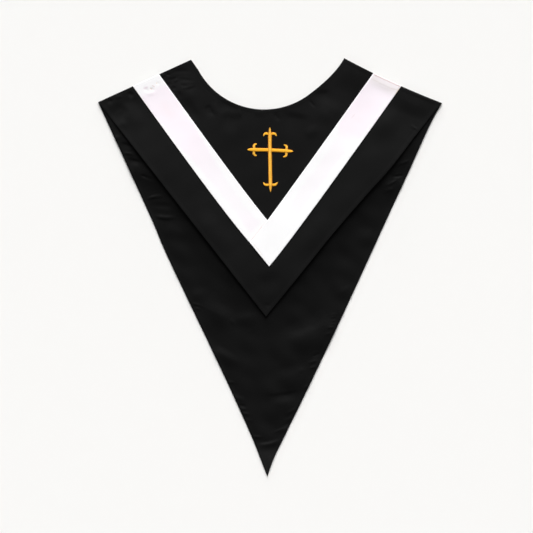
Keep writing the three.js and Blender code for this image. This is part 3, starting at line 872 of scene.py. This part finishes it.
# A painted shadow: a thin pinkish line along the lap, where the right band lies over the left one.
LAP_PAINTED_SHADOW = ((-3.8, 75), (-31.2, 39.6), 1.1, 6, (0.77, 0.57, 0.575, 1))
RIGHT_TINTS_AND_SHADE = [
    LAP_PAINTED_SHADOW,
    # A darker brownish line just inside the right band's folded-off end.
    ((-28.3, 39.7), (-10.3, 18.7), 0.7, 6, (0.83, 0.75, 0.72, 1)),
    # Painted shade by the right shoulder seam: a mauve-grey zone, a reddish seam line and a wavy brown
    # crease.
    ((158, 298.5), (208, 275), 13.0, 3, (0.80, 0.750, 0.755, 1)),
    ((161.7, 304.7), (207.2, 284.1), 2.0, 5, (0.66, 0.53, 0.52, 1)),
    ((160, 297), (172, 291.5), 1.4, 3, (0.74, 0.68, 0.68, 1)),
    ((170, 291), (190, 282.5), 1.8, 3, (0.71, 0.66, 0.67, 1)),
    ((188, 283), (201, 279.5), 1.4, 3, (0.73, 0.66, 0.65, 1)),
    # A short brown line by the seam's end.
    ((204, 283), (197, 272), 1.3, 3, (0.78, 0.64, 0.48, 1)),
    # A wider patch of the painted pink cast, and a small tinted line.
    ((142, 240), (136, 226), 13.0, 10, (0.862, 0.772, 0.818, 1)),
    ((127, 234), (135, 243), 1.2, 5, (0.80, 0.70, 0.74, 1)),
]
LEFT_TINTS_AND_SHADE = [
    LAP_PAINTED_SHADOW,
    # A wider patch of the painted pink cast.
    ((-172, 264), (-150, 230), 13.0, 12, (0.862, 0.776, 0.822, 1)),
    # Painted shade in a pucker near the left shoulder seam, then small brown-red spots.
    ((-200, 281), (-191, 285), 2.6, 3, (0.78, 0.69, 0.745, 1)),
    ((-189, 283), (-185, 280), 1.5, 1, (0.67, 0.53, 0.47, 1)),
    ((-186, 287), (-181, 284), 1.4, 1, (0.72, 0.60, 0.60, 1)),
    ((-179, 291), (-177.5, 289.5), 1.0, 0.5, (0.80, 0.60, 0.40, 1)),
]
band_thread = sewing_thread("white_thread", (0.78, 0.75, 0.77, 1), (0.92, 0.90, 0.92, 1))
left_inner = band_edge(LEFT_BAND_INNER, BAND_VERTEX, -LEFT_INNER_BOW)
left_outer = band_edge(LEFT_BAND_OUTER, LAP_END, -LEFT_OUTER_BOW)
right_inner = band_edge(RIGHT_BAND_INNER, BAND_VERTEX, RIGHT_INNER_BOW)
right_outer = band_edge(RIGHT_BAND_OUTER, BAND_TIP, RIGHT_OUTER_BOW)
left_end = [BAND_VERTEX + lap_in * LAP_UNDER, LAP_END + lap_in * LAP_UNDER]
left_outline = np.vstack([left_inner, left_end, left_outer[::-1]])
right_outline = np.vstack([[LAP_END], right_inner[::-1], right_outer])
bands = (
    ("left", left_outline, left_inner, left_outer, LEFT_PINK, LEFT_TINTS_AND_SHADE, False),
    ("right", right_outline, right_inner, right_outer, RIGHT_PINK, RIGHT_TINTS_AND_SHADE, True),
)
for side, outline, inner, outer, pink, tints_and_shade, laps in bands:
    faces = band_faces(laps)
    band = laid_cloth(
        f"white_band_{side}_satin",
        outline,
        faces,
        BAND_ROLL,
        [(BAND_STEP, lambda at, depth: depth > 0)],
    )
    band.data.materials.append(white_satin(f"white_satin_{side}", pink, tints_and_shade))
    middle = (inner.mean(0) + outer.mean(0)) / 2
    rows = []
    for line in (inner, outer):
        toward = middle - line.mean(0)
        run = np.gradient(line, axis=0)
        across = np.stack([-run[:, 1], run[:, 0]], 1) / np.hypot(*run.T)[:, None]
        across *= np.sign(across @ toward)[:, None]
        rows.append(line + STITCH_INSET * across)
    stitching = edge_stitches(f"white_band_{side}_topstitching", rows, faces)
    stitching.data.materials.append(band_thread)
    for piece in (band, stitching):
        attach(piece, "root")
    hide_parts(f"white_band_{side}")
    width = np.hypot(*(np.array(inner[0]) - outer[0]))
    length = max(np.hypot(*(line[-1] - line[0])) for line in (inner, outer))

# CROSS: machine embroidery in golden rayon. Satin stitch runs across each bar and hook over a
# padding of the same thread. The upright is worked last, over the crossbar.
CROSS_CENTRE = np.array([-0.1, 185])
UPRIGHT_WIDTH, CROSSBAR_WIDTH = 5.9, 5.6
# Turn is an arm's direction in degrees from +X and length how far its tip is from the crossing. Its
# hooks leave it at hooks, past which the bar has only the share waist of its width. They stand out
# by reach, and their tips turn back by curl. Point is how near its tip the arm still is full, and
# raised is how far its padding lifts it over the other bar.
#    turn   length hooks width          waist point reach curl raised
CROSS_ARMS = [
    (-3.3, 37.0, 24.9, CROSSBAR_WIDTH, 0.94, 3.0, 9.3, 3.4, 0.12),
    (178.9, 35.9, 23.8, CROSSBAR_WIDTH, 0.94, 3.0, 9.1, 3.1, 0.12),
    (90.0, 35.9, 24.4, UPRIGHT_WIDTH, 0.72, 4.4, 9.9, 2.2, 0.35),
    (-89.1, 66.2, 53.4, UPRIGHT_WIDTH, 0.78, 4.4, 10.8, 2.6, 0.35),
]
NARROWING, WAIST_LENGTH = 2.2, 1.6
HOOK_RISE, HOOK_BEND = 4.0, 8.8
HOOK_WIDTH, HOOK_TIP_WIDTH, HOOK_TAPER_START = 4.1, 2.4, 0.4
THREAD_PITCH, THREAD_RADIUS, THREAD_SLANT = 0.40, 0.23, 0.10
THREAD_POINTS, THREAD_SINK = 9, 0.30
PADDING_HEIGHT, HOOK_HEIGHT = 1.0, 0.8
# The padding is lower where a bar is less than twice this wide.
FULL_PADDING = 2.4
# A hook's threads, and how many of the first ones the bar would hide.
HOOK_POINTS, HOOK_HIDDEN = 33, 3


def arm_half_width(along, length, hooks, width, waist, point):
    """Half the width of an arm at a distance from the crossing."""
    half = width / 2
    narrow = half * waist
    t = np.linspace(0, 1, 30)
    ends = (hooks + WAIST_LENGTH, length - point, length)
    place = (1 - t) ** 2 * ends[0] + 2 * t * (1 - t) * ends[1] + t**2 * ends[2]
    taper = narrow * ((1 - t) ** 2 + 2 * t * (1 - t))
    return np.interp(along, [-half, hooks - NARROWING, *place], [half, half, *taper])


def hook_spine(reach, curl, side, count):
    """The middle line of a hook and its half widths, seen along its arm from where it leaves it."""
    t = np.linspace(0, 1, count)
    x = 2 * t * (1 - t) * HOOK_RISE - t**2 * curl
    y = 2 * t * (1 - t) * HOOK_BEND + t**2 * reach
    taper = ease((t - HOOK_TAPER_START) / (1 - HOOK_TAPER_START))
    half = (HOOK_WIDTH - (HOOK_WIDTH - HOOK_TIP_WIDTH) * taper) / 2
    half = half * np.sqrt(np.clip((1.06 - t) / 0.16, 0, 1))
    return np.stack([x, side * y], 1), half


def satin_stitch(spine, half, height, raised):
    """Threads laid side by side across a spine, arched over the padding, in the arm's own frame."""
    run = np.gradient(spine, axis=0)
    run /= np.hypot(*run.T)[:, None]
    across = np.stack([-run[:, 1], run[:, 0]], 1)
    v = np.linspace(-1, 1, THREAD_POINTS)
    flat = (
        spine[:, None]
        + across[:, None] * (half[:, None] * v)[..., None]
        + run[:, None] * (THREAD_SLANT * half[:, None] * v)[..., None]
    )
    padding = height * np.minimum(1, half / FULL_PADDING)[:, None]
    arch = padding * np.sqrt(1 - 0.94 * v**4) + raised
    return np.concatenate([flat, (arch - THREAD_SINK)[..., None]], -1)


threads = []
for turn, length, hooks, width, waist, point, reach, curl, raised in CROSS_ARMS:
    angle = math.radians(turn)
    swing = np.array([[math.cos(angle), math.sin(angle)], [-math.sin(angle), math.cos(angle)]])
    bars = []
    along = np.arange(0.0 if raised else 1.0, length - 0.5, THREAD_PITCH)
    spine = np.stack([along, np.zeros_like(along)], 1)
    half = arm_half_width(along, length, hooks, width, waist, point)
    bars.append((spine, half, PADDING_HEIGHT, raised))
    for side in (-1, 1):
        spine, half = hook_spine(reach, curl, side, HOOK_POINTS)
        spine = spine + [hooks, 0]
        bars.append((spine[HOOK_HIDDEN:], half[HOOK_HIDDEN:], HOOK_HEIGHT, 0.0))
    for spine, half, height, lift in bars:
        stitches = satin_stitch(spine, half, height, lift)
        flat = stitches[..., :2] @ swing + CROSS_CENTRE
        base = front_faces(flat.reshape(-1, 2))[1].reshape(flat.shape[:2])
        threads.append(np.concatenate([flat, (base + stitches[..., 2])[..., None]], -1))
threads = np.concatenate(threads)
off_middle = np.abs(np.linspace(-1, 1, THREAD_POINTS))
radii = np.broadcast_to(THREAD_RADIUS * (1 - 0.35 * off_middle**6), threads.shape[:2])
embroidery = strands("embroidered_cross_threads", threads, radii, THREAD_SIDES)
# How far each point of a thread lies from the stitch's middle, for the thread's painted shade.
flank_shade = np.append(np.repeat(off_middle, THREAD_SIDES), [1, 1])
layer = embroidery.data.attributes.new("flank_shade", "FLOAT", "POINT")
layer.data.foreach_set("value", np.tile(flank_shade, len(threads)))


def gold_rayon(name):
    """Bright rayon thread: golden yellow over the padding, and painted shade turning it orange where it
    dives into the cloth.
    """
    material, start = new_material(name)
    place, x, y, _ = place_on(start)
    tone = mottling(start, place, 260.0)
    fibre = mottling(start, place, 2600.0)
    flank_shade_mask = start.node("ShaderNodeAttribute", {"attribute_name": "flank_shade"}, output="Fac")
    colour = (tone * 0.7 + fibre * 0.3).colours((0.98, 0.48, 0.020, 1), (1.0, 0.64, 0.060, 1))
    # Painted shade: the thread turns deeper orange towards each stitch's flanks.
    colour = (flank_shade_mask * flank_shade_mask).colours(colour, (0.80, 0.26, 0.010, 1))
    dress(start, colour, 0.34 + fibre * 0.12, fibre, 0.00003, {"Specular IOR Level": 0.35})
    return material


embroidery.data.materials.append(gold_rayon("gold_rayon_thread"))
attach(embroidery, "root")
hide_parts("embroidered_cross")

# STAGE: a plain pale table top, seen from straight above. Soft studio light comes from beyond the
# neck, part of it so low that the folds cast their shade towards the point.
TABLE_REACH, TABLE_DROP = 4.0, 0.0004
floor_mesh = bpy.data.meshes.new("floor")
corners = ((-1, -1), (1, -1), (1, 1), (-1, 1))
floor_mesh.from_pydata(
    [(x * TABLE_REACH, y * TABLE_REACH, -TABLE_DROP) for x, y in corners], [], [(0, 1, 2, 3)]
)
floor = bpy.data.objects.new("floor", floor_mesh)
bpy.context.scene.collection.objects.link(floor)
floor_paint, start = new_material("pale_table")
place, *_ = place_on(start)
tint = mottling(start, place, 30.0).colours((0.882, 0.874, 0.859, 1), (0.886, 0.878, 0.863, 1))
roughness = 0.9 + mottling(start, place, 200.0) * 0.05
grain = mottling(start, place, 400.0)
dress(start, tint, roughness, grain, 0.00001, {"Specular IOR Level": 0.0})
floor_mesh.materials.append(floor_paint)

bpy.context.scene.view_settings.view_transform = "Standard"
world = bpy.data.worlds.new("studio")
world.use_nodes = True
world.node_tree.nodes["Background"].inputs["Color"].default_value = (1.0, 0.995, 0.99, 1)
world.node_tree.nodes["Background"].inputs["Strength"].default_value = 0.06
bpy.context.scene.world = world
#        name     towards the light     strength  softness
LAMPS = [
    ("high_key", (0.0, 0.78, 0.62), 2.1, 40),
    ("low_key", (0.0, 0.96, 0.25), 6.2, 50),
    ("left_fill", (-0.90, -0.10, 0.60), 0.22, 60),
    ("right_fill", (0.70, -0.35, 0.80), 0.22, 60),
]
for name, toward, strength, softness in LAMPS:
    lamp = bpy.data.lights.new(name, "SUN")
    lamp.energy = strength
    lamp.angle = math.radians(softness)
    holder = bpy.data.objects.new(name, lamp)
    holder.rotation_mode = "QUATERNION"
    holder.rotation_quaternion = Vector(toward).to_track_quat("Z", "Y")
    bpy.context.scene.collection.objects.link(holder)

CAMERA_HEIGHT = 6.0
VIEW_WIDTH = 0.8394
VIEW_CENTRE = (-0.00543, 0.00181)
camera = bpy.data.cameras.new("camera")
camera.sensor_width = 36
camera.lens = camera.sensor_width * CAMERA_HEIGHT / VIEW_WIDTH
camera.clip_end = 100
camera_holder = bpy.data.objects.new("camera", camera)
camera_holder.location = (*VIEW_CENTRE, CAMERA_HEIGHT)
bpy.context.scene.collection.objects.link(camera_holder)
bpy.context.scene.camera = camera_holder
